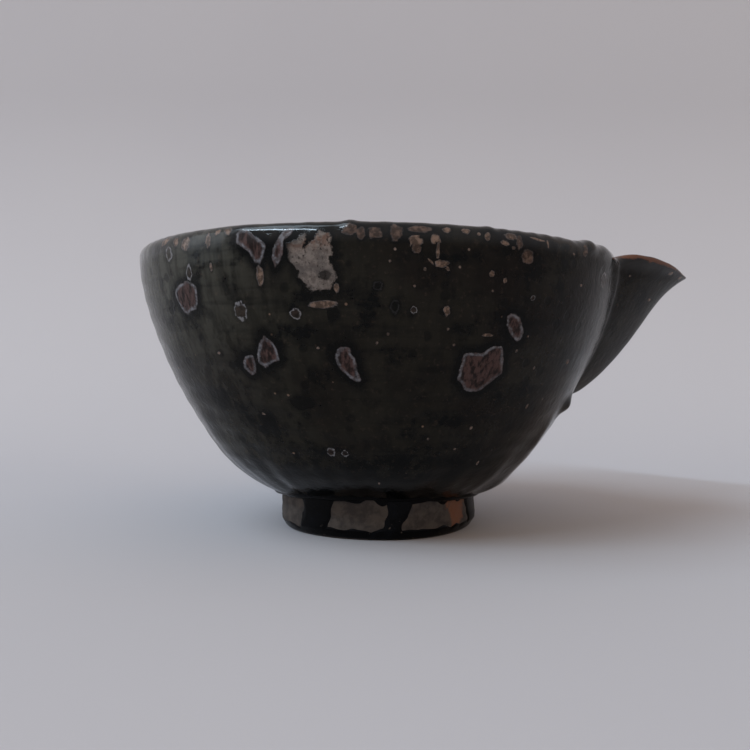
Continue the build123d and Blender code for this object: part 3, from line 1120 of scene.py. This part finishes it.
@dataclass(frozen=True)
class DarkGlaze:
    """The thick iron glaze: its colours on screen and how rough and how reflective it is."""

    olive: Colour = tone(34, 33, 27)
    umber: Colour = tone(19, 15, 11)
    # Painted sheen: the next two tones are laid only on the lit left side of the wall, lighter where the
    # light falls.
    painted_sheen_streak: Colour = tone(64, 64, 59)
    painted_sheen_wash: Colour = tone(84, 86, 80)
    black: Colour = tone(3, 4, 4)
    rust: Colour = tone(96, 60, 40)
    mauve: Colour = tone(66, 54, 53)
    tan: Colour = tone(134, 112, 97)
    silver: Colour = tone(142, 144, 150)
    ash: Colour = tone(116, 110, 106)
    chalk: Colour = tone(90, 84, 81)
    slate: Colour = tone(72, 70, 70)
    heart_dark: Colour = tone(31, 24, 23)
    heart_light: Colour = tone(72, 56, 54)
    frost_dark: Colour = tone(74, 74, 77)
    frost_light: Colour = tone(116, 120, 128)
    rough: float = 0.12
    gloss: float = 0.115
    rim_gloss: float = 0.55
    rim_rough: float = 0.1

    def build(self, name: str) -> bpy.types.Material:
        """The material.

        Args:
            name: its name.

        Returns:
            Dark glossy glaze with streaks, bands and specks, thin and rusty on edges, with painted sheen on
            the lit left side and painted shade towards the hip, pale and blooming patches and the small marks
            stored on the mesh.
        """
        paint = Paint(name)
        at = paint.place()
        height = at.axis(2) * 1000.0
        fine = paint.noise(at, 900.0, 4.0, 0.65)
        cloud = paint.noise(at, 60.0, 3.0)
        streak = paint.noise(at.scaled(1.0, 1.0, 0.10), 330.0, 3.0, 0.6)
        band = paint.noise(at.scaled(0.12, 0.12, 1.0), 300.0, 3.0, 0.6)
        grain = paint.noise(at, 2600.0, 2.0, 0.6)
        blotch = paint.noise(at, 150.0, 4.0, 0.6)
        pebble = paint.noise(at, 480.0, 3.0, 0.6)
        # The left side, where the light falls: the lighter tones laid there below are painted sheen.
        left = at.axis(0).rise(-0.012, -0.058)
        low = height.rise(34.0, 12.0)
        # Olive in slow clouds is the glaze's own tone; the olive that grows towards the lit left side is
        # painted light.
        olive_and_lit_side = (cloud.rise(0.35, 0.62) * 0.6 + at.axis(0).rise(0.035, -0.055) * 0.5).clamped()
        # Black streaks, bands and blotches are the glaze's own. The black that grows towards the hip with
        # height is painted shade, standing in for the shaded floor that the lower wall mirrors.
        dark = (streak.rise(0.42, 0.62) * (0.3 + 0.6 * low) + band.rise(0.48, 0.66) * 0.4
                + blotch.rise(0.52, 0.64) * 0.6 + height.rise(24.0, 12.5) * 0.9 + low * 0.2).clamped()
        coat = Coat(paint, at, fine, paint.mix(olive_and_lit_side, self.umber, self.olive),
                    rough=self.rough + fine * 0.14 - dark * 0.10 - height.rise(66.0, 70.0) * 0.06,
                    relief=fine * 0.4 + streak * 0.35 + pebble * 0.5)
        # Painted sheen on the lit left side: lighter streaks, and a lighter wash that grows towards the rim.
        coat.cover(streak.rise(0.58, 0.40) * left * 0.55, self.painted_sheen_streak)
        coat.cover(left * height.rise(44.0, 68.0) * (0.25 + 0.45 * cloud), self.painted_sheen_wash)
        coat.cover(dark, self.black)
        coat.cover((fine.rise(0.55, 0.8) * 0.10).clamped(), self.tan)
        rusty = (paint.stored("thin") + (paint.noise(at, 240.0, 4.0, 0.6) - 0.5) * 1.1).rise(0.55, 0.8)
        coat.cover(rusty * 0.85, self.rust)
        for add in (self._dots, self._pale, self._bloom, self._marks):
            add(coat)
        normal = paint.bump(coat.relief, 0.55, 0.30, Normal=paint.bump(grain, 0.08, 0.1))
        paint.set(base_color=coat.colour, roughness=coat.rough.clamped(), normal=normal,
                  specular_ior_level=self.gloss, coat_roughness=self.rim_rough,
                  coat_weight=height.rise(69.5, 72.5) * self.rim_gloss)
        return paint.material

    def _dots(self, coat: Coat) -> None:
        """Tiny pale and black dots strewn all over, one in some of the cells of a cellular noise."""
        near = coat.paint.cells(coat.at, 300.0, "Distance")
        pick = coat.paint.cells(coat.at, 300.0, "Color").axis(0)
        dot = near.rise(0.12, 0.06) * pick.rise(0.86, 0.89)
        pit = near.rise(0.42, 0.28) * pick.rise(0.20, 0.16)
        coat.cover(pit * 0.55, self.black)
        coat.cover(dot * 0.6, self.tan)
        coat.reshape(coat.rough - pit * 0.08, coat.relief + dot * 0.4 - pit * 0.2)

    def _pale(self, coat: Coat) -> None:
        """The matte pale patch under the rim, with a ragged edge and a black halo."""
        paint, at = coat.paint, coat.at
        inside = paint.stored("pale") + (paint.noise(at, 420.0, 4.0, 0.65) - 0.5) * 3.2
        fill = inside.rise(-0.15, 0.35)
        halo = inside.rise(-2.6, -0.6) - fill
        pores = paint.noise(at, 1500.0, 3.0, 0.7).rise(0.56, 0.68)
        cloudy = paint.noise(at, 300.0, 3.0, 0.6)
        stain = cloudy.rise(0.5, 0.6) * at.axis(2).rise(0.0675, 0.071)
        body = paint.mix(coat.fine.rise(0.38, 0.62), self.chalk, self.ash)
        body = paint.mix(cloudy.rise(0.52, 0.36) * 0.45, body, self.slate)
        body = paint.mix(stain * 0.5, body, self.rust)
        body = paint.mix(pores * 0.85, body, self.umber)
        coat.cover(halo.clamped() * 0.75, self.black)
        coat.cover(fill * 0.95, body)
        coat.reshape(coat.rough + fill * 0.16 - halo * 0.1, coat.relief + fill * 0.5)

    def _bloom(self, coat: Coat) -> None:
        """Reddish blooms with a blue-grey border and a black halo."""
        paint, at = coat.paint, coat.at
        inside = paint.stored("bloom") + (paint.noise(at, 420.0, 4.0, 0.6) - 0.5) * 1.5
        fill = inside.rise(-0.1, 0.25)
        border = fill * inside.rise(0.95, 0.4) * (0.35 + 0.65 * paint.noise(at, 500.0, 3.0).rise(0.38, 0.6))
        halo = inside.rise(-2.8, -0.5) - fill
        grain = paint.noise(at.scaled(1.0, 1.0, 0.25), 1000.0, 3.0, 0.6)
        coat.cover(halo.clamped() * 0.9, self.black)
        coat.cover(fill, paint.mix(grain.rise(0.38, 0.62), self.heart_dark, self.heart_light))
        coat.cover(border * 0.85, paint.mix(coat.fine.rise(0.4, 0.6), self.frost_dark, self.frost_light))
        coat.reshape(coat.rough + fill * 0.12 - halo * 0.12, coat.relief + fill * 0.25 + border * 0.35)

    def _marks(self, coat: Coat) -> None:
        """The small marks: a filled middle, a paler border and a black halo, by each mark's look."""
        paint = coat.paint
        stored, look, tint = (paint.stored(f"mark_{part}", "Vector") for part in ("place", "look", "tint"))
        wobble = paint.noise(stored.scaled(1.0, 1.0, 7.0), 1.1, 3.0, 0.6) - 0.5
        reach = stored.scaled(1.0, 1.0, 0.0).long() + wobble * 1.1
        ragged = paint.noise(coat.at, 1100.0, 2.0, 0.7)
        fill = (reach + (ragged - 0.5) * 0.35).rise(1.02, 0.85) * look.axis(0)
        uneven = paint.noise(stored.scaled(1.0, 1.0, 3.0), 1.7, 2.0).rise(0.32, 0.54)
        band = reach.rise(0.66, 0.84) * reach.rise(1.06, 0.94)
        edge = band * ragged.rise(0.24, 0.44) * uneven * look.axis(1) * 1.5
        halo = reach.rise(1.75, 1.0) * look.axis(2) * tint.axis(2)
        heart = paint.mix(tint.axis(0), self.mauve, self.tan)
        heart = paint.mix(tint.axis(1).rise(0.55, 1.0), heart, self.silver)
        heart = paint.mix(coat.fine.rise(0.62, 0.42) * 0.7, heart, self.umber)
        heart = paint.mix(reach.rise(0.4, 1.0) * 0.4, heart, self.umber)
        coat.cover(halo.clamped() * 0.8, self.black)
        coat.cover(fill.clamped(), heart)
        coat.cover(edge.clamped() * 0.75, self.silver)
        coat.reshape(coat.rough + fill * 0.12 - halo * 0.1, coat.relief + fill * 0.2 + edge * 0.35)


@dataclass(frozen=True)
class RunGlaze:
    """The glaze where it pooled and ran: near black, very glossy, bluish where it is thick."""

    deep: Colour = tone(3, 3, 4)
    blue: Colour = tone(12, 15, 20)
    fleck: Colour = tone(96, 90, 84)

    def build(self, name: str) -> bpy.types.Material:
        """The material: slow clouds of blue-black and a rare pale speck."""
        paint = Paint(name)
        at = paint.place()
        cloud = paint.noise(at, 130.0, 3.0, 0.6)
        fine = paint.noise(at, 1200.0, 3.0, 0.6)
        colour = paint.mix(cloud.rise(0.5, 0.75) * 0.6, self.deep, self.blue)
        speck = paint.noise(at, 700.0, 2.0, 0.5).rise(0.71, 0.76)
        colour = paint.mix(speck * 0.5, colour, self.fleck)
        paint.set(base_color=colour, roughness=0.18 + fine * 0.14, specular_ior_level=0.08,
                  normal=paint.bump(fine, 0.25, 0.15))
        return paint.material


@dataclass(frozen=True)
class BareClay:
    """Fired stoneware, brown-grey and matte, with an orange flash on one side of the foot."""

    grey: Colour = tone(72, 66, 61)
    dark: Colour = tone(48, 43, 40)
    orange: Colour = tone(117, 74, 50)
    sand: Colour = tone(96, 90, 86)
    flash_at: float = -40.0
    flash_half: float = 9.0

    def build(self, name: str) -> bpy.types.Material:
        """The material: mottled clay with grit, and the flash read from the angle round the foot."""
        paint = Paint(name)
        at = paint.place()
        mottle = paint.noise(at, 350.0, 4.0, 0.65)
        grit = paint.noise(at, 2200.0, 3.0, 0.7)
        colour = paint.mix(mottle.rise(0.35, 0.65), self.dark, self.grey)
        turn = at.maths("ARCTAN2", at.axis(1), at.axis(0)) * (180.0 / math.pi)
        beside = at.maths("ABSOLUTE", turn - self.flash_at)
        narrow = self.flash_half * (at.axis(2) * 90.0 + 0.25)
        flash = (beside / narrow + (mottle - 0.5) * 2.2).rise(1.1, 0.7)
        colour = paint.mix(flash * 0.8, colour, self.orange)
        colour = paint.mix(grit.rise(0.6, 0.75) * 0.35, colour, self.sand)
        paint.set(base_color=colour, roughness=0.6 + grit * 0.2, normal=paint.bump(grit, 0.5, 0.25),
                  specular_ior_level=0.35)
        return paint.material


class Slot(Enum):
    """The part's material slots."""

    CLAY = "stoneware_clay"
    GLAZE = "dark_glaze"


def dress(grid: GridMesh, finish: bpy.types.Material, slot: Slot, *nodes: str) -> bpy.types.Object:
    """Make a piece that rides on the part and stands for its nodes.

    Args:
        grid: the piece's surface.
        finish: its material.
        slot: the slot that the material belongs to; not used.
        nodes: the nodes that it replaces.

    Returns:
        The piece.
    """
    obj = grid.build()
    obj.data.materials.append(finish)
    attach(obj, "root")
    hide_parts(*nodes)
    log.info("%s: %d faces, for %s", obj.name, len(obj.data.polygons), ", ".join(nodes))
    return obj


@dataclass(frozen=True)
class FootForm:
    """The turned foot in mm: a ring round a recess, with the nub that turning leaves."""

    radius: float = 27.4
    top_z: float = 9.2
    ring_w: float = 6.4
    bevel_w: float = 1.5
    bevel_h: float = 2.5
    recess: float = 6.6
    nub_r: float = 4.5
    nub_h: float = 1.1

    def outline(self) -> Array:
        """The line from the nub, under the ring and up the outside, with its corners cut back."""
        inner = self.radius - self.ring_w
        corners = np.array([
            (0.0, self.recess - self.nub_h), (self.nub_r, self.recess), (inner, self.recess),
            (inner, self.bevel_w), (inner + self.bevel_w, 0.0), (self.radius - self.bevel_w, 0.0),
            (self.radius, self.bevel_h), (self.radius, self.top_z), (0.0, self.top_z),
        ])
        cut = 0.45
        line = [corners[0]]
        for before, corner, after in zip(corners[:-2], corners[1:-1], corners[2:]):
            back = (before - corner) / np.linalg.norm(before - corner) * cut
            ahead = (after - corner) / np.linalg.norm(after - corner) * cut
            for t in (0.0, 0.33, 0.67, 1.0):
                line.append(corner + back * (1 - t) ** 2 + ahead * t * t)
        line.append(corners[-1])
        return np.array(line)

    def rows(self, count: int, columns: int) -> Array:
        """Points of the foot over its outline and the angle.

        Args:
            count: rows along the outline.
            columns: columns round the axis.

        Returns:
            The outline turned round the axis, a little out of round, as rows of points.
        """
        line = self.outline()
        along = path_length(line[:, 0], line[:, 1])
        even = np.union1d(np.linspace(0.0, along[-1], count), along)[:, None]
        radius = np.interp(even, along, line[:, 0])
        height = np.interp(even, along, line[:, 1])
        angle = even_turn(columns)[None, :]
        moved = self.wobble(angle, even) + np.sin(even * 2.2 + angle) * 0.05 * smoothstep(0.3, 1.5, height)
        grounded = smoothstep(0.0, 0.8, height)
        far = radius + moved * smoothstep(0.0, 6.0, radius) * (0.3 + 0.7 * grounded)
        far = far + self.swell(angle, height) * (radius > self.radius - self.ring_w - 1.0)
        return turned(far, angle, height + self.lifted(angle, height) * (radius > 15.0))

    @staticmethod
    def wobble(angle: Array, along: Array) -> Array:
        """How far the turned wall strays from round, in mm, by slow waves."""
        return 0.16 * WaveField(5, (1, 6), (0.0, 0.1), 8).at(angle, along)

    @staticmethod
    def swell(angle: Array, height: Array) -> Array:
        """A low swelling of the wall on the right: a soft bump in the angle and the height, in mm."""
        return 0.35 * np.exp(-((turn_difference(angle, -0.15) / 0.3) ** 2) - ((height - 4.0) / 1.6) ** 2)

    @staticmethod
    def lifted(angle: Array, height: Array) -> Array:
        """How far the foot's top follows the hip upward, in mm."""
        return foot_lift(angle) * smoothstep(4.5, 9.2, height)


@dataclass(frozen=True)
class BareWindow:
    """A part of the foot's wall that the glaze left bare, by its angles in degrees and its lowest z."""

    start_deg: float
    end_deg: float
    low_z: float


BARE_WINDOWS = (
    BareWindow(-186.0, -138.4, 2.6),
    BareWindow(-117.1, -87.6, 2.9),
    BareWindow(-74.6, -29.5, 2.8),
    BareWindow(-12.0, 22.0, 2.6),
    BareWindow(36.0, 58.0, 3.2),
    BareWindow(75.0, 128.0, 2.7),
    BareWindow(152.0, 168.0, 3.0),
)


@dataclass
class Foot:
    """The clay foot, the skin of glaze on its wall and the bead where the glaze stopped at the hip."""

    form: FootForm
    bead_at: tuple[float, float] = (28.55, 10.3)
    bead_r: float = 1.35
    skin: float = 0.24
    sunk: float = 0.12
    backing: float = 1.2

    def sheet(self, columns: int, rows: int) -> Array:
        """The skin of glaze on the foot's wall, sunk into the clay where the wall is bare.

        Args:
            columns: columns round the axis.
            rows: rows up the wall.

        Returns:
            Rows up the outside of the skin and down its back, which lies in the clay. The skin's height
            above the clay goes from its full one outside every bare window to below the clay inside it,
            along a wavy edge.
        """
        form = self.form
        angle = even_turn(columns)[None, :]
        height = np.linspace(0.12, form.top_z + 0.6, rows)[:, None]
        wavy = WaveField(31, (10, 60), (0.0, 0.6), 14).at(angle, height)
        scallops = WaveField(32, (14, 40), (0.0, 0.0), 9).at(angle, 0.0 * angle)
        slopes = WaveField(33, (3, 9), (0.2, 0.5), 6).at(angle, height)
        inside = np.full((rows, columns), FAR_OUTSIDE)
        for window in BARE_WINDOWS:
            middle = math.radians((window.start_deg + window.end_deg) / 2.0)
            half = math.radians((window.end_deg - window.start_deg) / 2.0)
            beside = (half - np.abs(turn_difference(angle, middle))) * form.radius + 0.3 * wavy + 0.8 * slopes
            above = height - window.low_z + 0.28 * scallops + 0.15 * wavy
            below = form.top_z - 0.8 - height + 0.3 * scallops
            inside = np.maximum(inside, np.minimum(beside, np.minimum(above, below)))
        depth = (self.skin + self.sunk) * (1.0 - smoothstep(-1.1, 0.4, inside)) - self.sunk
        wall = form.radius - np.clip(1.0 - height / form.bevel_h, 0.0, 1.0) * form.bevel_w
        far = wall + depth + form.wobble(angle, 40.0 + height) + form.swell(angle, height)
        far = far - 0.3 * (1.0 - smoothstep(0.1, 0.6, height))
        height = height + form.lifted(angle, height)
        return np.concatenate([turned(far, angle, height), turned(wall - self.backing, angle, height)[::-4]])

    def bead(self, columns: int, rows: int) -> Array:
        """The bead: a ring whose thickness swells and thins by a tenth as it goes round.

        Args:
            columns: columns round the axis.
            rows: rows round the bead.

        Returns:
            Rows of points.
        """
        angle, turn = even_turn(columns)[None, :], even_turn(rows)[:, None]
        waves = WaveField(41, (2, 14), (0.0, 0.0), 10).at(angle, 0.0 * angle)
        radius = self.bead_r * (1.0 + 0.08 * waves)
        height = self.bead_at[1] + foot_lift(angle) + radius * np.sin(turn) * 1.05
        return turned(self.bead_at[0] + radius * np.cos(turn), angle, height)

    def build(self, clay: bpy.types.Material, pooled: bpy.types.Material) -> None:
        """Make the foot, the bead and the skin, and dress them."""
        dress(GridMesh("turned_foot", self.form.rows(110, 480), False), clay, Slot.CLAY, "foot")
        dress(GridMesh("glaze_bead", self.bead(480, 24), True), pooled, Slot.GLAZE, "glaze_roll")
        dress(GridMesh("foot_glaze", self.sheet(900, 40), True), pooled, Slot.GLAZE, "foot_glaze_runs")


@dataclass
class Glazing:
    """The pourer's glaze coats and the clay under them."""

    pot: PotSurface
    marks: MarkMap
    split: int
    skin: float = 0.45
    clay_depth: float = 1.0
    seam_share: float = 0.04

    def attributes(self) -> dict[str, Array]:
        """Distances into the patches, and how thin the glaze is, for each point of the surface.

        Returns:
            Arrays named pale, bloom and thin. Thin is 1 on the rim's crest and the spout's lip, and
            falls to 0 over a couple of millimetres below.
        """
        pot = self.pot
        pale = self.marks.patch_distance(PALE_PATCH)
        bloom = np.max([self.marks.patch_distance(p) for p in BLOOM_PATCHES], axis=0)
        crest = pot.rows[0] + pot.rows[1] / 2.0
        crest_length = np.interp(crest, np.arange(len(pot.profile.length)), pot.profile.length)
        away = np.abs(pot.profile.length - crest_length)[:, None]
        share = np.abs(pot.angle[None, :]) / pot.outer.half_turn(70.0, pot.form.rim_r)
        on_lip = 1.0 - smoothstep(0.75, 1.15, share)
        thin = (1.0 - smoothstep(1.0, 3.4, away)) * 0.5 + on_lip * (1.0 - smoothstep(2.4, 5.6, away)) * 0.72
        return {"pale": pale, "bloom": bloom, "thin": np.broadcast_to(thin, pale.shape).copy()}

    def outside(self) -> GridMesh:
        """The coat outside and over the rim, closed by a coarser back face a skin's depth below."""
        pot = self.pot
        back_index = np.linspace(self.split, 0, 14).round().astype(int)
        back = (pot.points - pot.normals * self.skin)[back_index]
        stored = {name: np.concatenate([self._front(values, True), values[back_index]])
                  for name, values in self.attributes().items()}
        return GridMesh("glaze_outside", np.concatenate([self._front(pot.points, True), back]), True, stored)

    def inside(self) -> GridMesh:
        """The coat down the inside and over the floor, closed by a coarser back face."""
        pot = self.pot
        back_index = np.linspace(len(pot.points) - 1, self.split, 16).round().astype(int)
        back = (pot.points - pot.normals * self.skin)[back_index]
        back[0] = back[0].mean(axis=0)
        stored = {name: np.concatenate([values[back_index], self._front(values, False)])
                  for name, values in self.attributes().items()}
        return GridMesh("glaze_inside", np.concatenate([back, self._front(pot.points, False)]), False, stored)

    def _front(self, values: Array, outside: bool) -> Array:
        """A coat's seen rows, with one more row a hair's breadth from the seam between the coats.

        The shading turns towards the hidden end of the coat within that hair's breadth.

        Args:
            values: the surface's points, or numbers stored on them.
            outside: whether the coat is the outer one.

        Returns:
            The rows of that coat.
        """
        seam = values[self.split : self.split + 1]
        beside = values[self.split - 1 if outside else self.split + 1]
        near = seam + (beside - seam) * self.seam_share
        if outside:
            return np.concatenate([values[: self.split], near, seam])
        return np.concatenate([seam, near, values[self.split + 1 :]])

    def clay(self) -> GridMesh:
        """The clay under the coats, as one closed form a little below their backs."""
        pot = self.pot
        index = np.union1d(np.arange(0, len(pot.points), 2), [len(pot.points) - 1])
        form = (pot.points - pot.normals * self.clay_depth)[index][:, ::2]
        pole = np.zeros_like(form[:1])
        pole[..., 2] = form[0, :, 2].mean()
        form[-1] = form[-1].mean(axis=0)
        return GridMesh("clay_body", np.concatenate([pole, form]), False)

    def build(self, glaze: bpy.types.Material, clay: bpy.types.Material) -> None:
        """Make the coats and the clay, and dress them. The marks seed their noise from one draw each."""
        rng = np.random.default_rng(17)
        marks = [self.marks.place(mark, rng.uniform(0.0, 50.0)) for mark in MARKS]
        marks += self.marks.scattered(170, 23)
        outside = dress(self.outside(), glaze, Slot.GLAZE, "outer_glaze", "spout_glaze")
        inside = dress(self.inside(), glaze, Slot.GLAZE, "inner_glaze")
        for coat in (outside, inside):
            write_marks(coat.data, marks)
        dress(self.clay(), clay, Slot.CLAY, "bowl_body", "spout", "spout_luting")


@dataclass(frozen=True)
class Window:
    """A soft light the shape of a window, in metres and watts: where it stands and what it faces."""

    name: str
    at: tuple[float, float, float]
    aim: tuple[float, float, float]
    size: tuple[float, float]
    power: float
    tint: Colour

    def hang(self) -> None:
        """Make the light."""
        data = bpy.data.lights.new(self.name, "AREA")
        data.shape = "RECTANGLE"
        data.size, data.size_y = self.size
        data.energy, data.color = self.power, self.tint
        lamp = add_object(self.name, data)
        lamp.location = self.at
        lamp.rotation_euler = (Vector(self.aim) - Vector(self.at)).to_track_quat("-Z", "Y").to_euler()


WINDOWS = (
    Window("window", (-3.9, -3.2, 4.1), (0.1, 0.0, 0.05), (3.0, 0.25), 122.0, (0.70, 0.86, 1.0)),
    Window("skylight", (-3.7, -1.9, 5.7), (0.2, 0.0, 0.03), (3.6, 3.6), 142.0, (0.72, 0.87, 1.0)),
    Window("far_window", (-6.1, 0.0, 2.0), (1.6, 0.6, 0.3), (4.3, 4.3), 60.0, (0.8, 0.9, 1.0)),
)


@dataclass(frozen=True)
class Studio:
    """The pale paper sweep behind the pourer and its soft daylight, in metres."""

    paper: Colour = tone(193, 196, 203)
    paper_cloud: Colour = tone(188, 191, 199)
    room: Colour = (1.0, 0.75, 0.57)
    room_strength: float = 0.66
    distance: Colour = tone(174, 175, 182)
    bend_y: float = 0.11
    bend_r: float = 0.25
    width: float = 3.0
    front: float = -1.2
    top: float = 2.2

    def sweep(self) -> None:
        """Floor and wall in one sheet that bends up behind the pourer along a quarter circle."""
        turn = np.linspace(0.0, math.pi / 2.0, 24)
        wall_y = self.bend_y + self.bend_r
        along = np.concatenate([[self.front], self.bend_y + self.bend_r * np.sin(turn), [wall_y]])[:, None]
        height = np.concatenate([[0.0], self.bend_r * (1.0 - np.cos(turn)), [self.top]])[:, None]
        across = np.linspace(-self.width, self.width, 9)
        points = np.stack(np.broadcast_arrays(across, along, height), axis=-1).reshape(-1, 3)
        row, column = np.meshgrid(np.arange(len(along) - 1), np.arange(8), indexing="ij")
        first = (row * 9 + column).ravel()
        faces = np.stack([first, first + 1, first + 10, first + 9], axis=-1)
        mesh = bpy.data.meshes.new("paper_sweep")
        mesh.from_pydata(points.tolist(), [], faces.tolist())
        mesh.polygons.foreach_set("use_smooth", np.ones(len(mesh.polygons), dtype=bool))
        paint = Paint("paper")
        cloud = paint.noise(paint.place(), 5.0)
        paint.set(base_color=paint.mix(cloud, self.paper, self.paper_cloud), roughness=0.9)
        mesh.materials.append(paint.material)
        add_object("paper_sweep", mesh)

    def light(self) -> None:
        """Cool daylight from the left, high and low, and a warm room that looks as pale as the paper."""
        for window in WINDOWS:
            window.hang()
        world = bpy.data.worlds.new("room")
        world.use_nodes = True
        tree = NodeTree(world.node_tree)
        warm = tree.make("ShaderNodeBackground", {}, {"Color": self.room, "Strength": self.room_strength})
        pale = tree.make("ShaderNodeBackground", {}, {"Color": self.distance})
        camera, glossy, through = (tree.make("ShaderNodeLightPath", {}, {}, output=f"Is {ray} Ray")
                                   for ray in ("Camera", "Glossy", "Transmission"))
        seen = camera.most(glossy).most(through)
        both = tree.make("ShaderNodeMixShader", {}, {0: seen, 1: warm, 2: pale})
        tree.make("ShaderNodeOutputWorld", {}, {"Surface": both})
        bpy.context.scene.world = world
        bpy.context.scene.view_settings.view_transform = "Standard"


def main() -> None:
    """Build the pourer's pieces, the stage, the light and the camera."""
    logging.basicConfig(level=logging.INFO)
    camera = PhotoCamera()
    pot = PotSurface(
        form=BowlForm(),
        outer=SpoutForm(root_z=36.5, tip_z=70.6, reach=23.1, flare=7.15, half_w=19.0),
        inner=SpoutForm(root_z=44.5, tip_z=70.6, reach=20.2, flare=6.1, half_w=16.8, shoulder=1.03),
        lip=LipForm(),
        relief=Relief(),
        columns=560,
        rows=(120, 17, 84),
    )
    glaze = DarkGlaze().build("dark_glaze")
    pooled = RunGlaze().build("dark_glaze_pooled")
    clay = BareClay().build("stoneware_clay")
    Glazing(pot, MarkMap(pot, camera), split=sum(pot.rows[:2]) + 6).build(glaze, clay)
    Foot(FootForm()).build(clay, pooled)
    studio = Studio()
    studio.sweep()
    studio.light()
    camera.make()


if __name__ == "__main__":
    main()
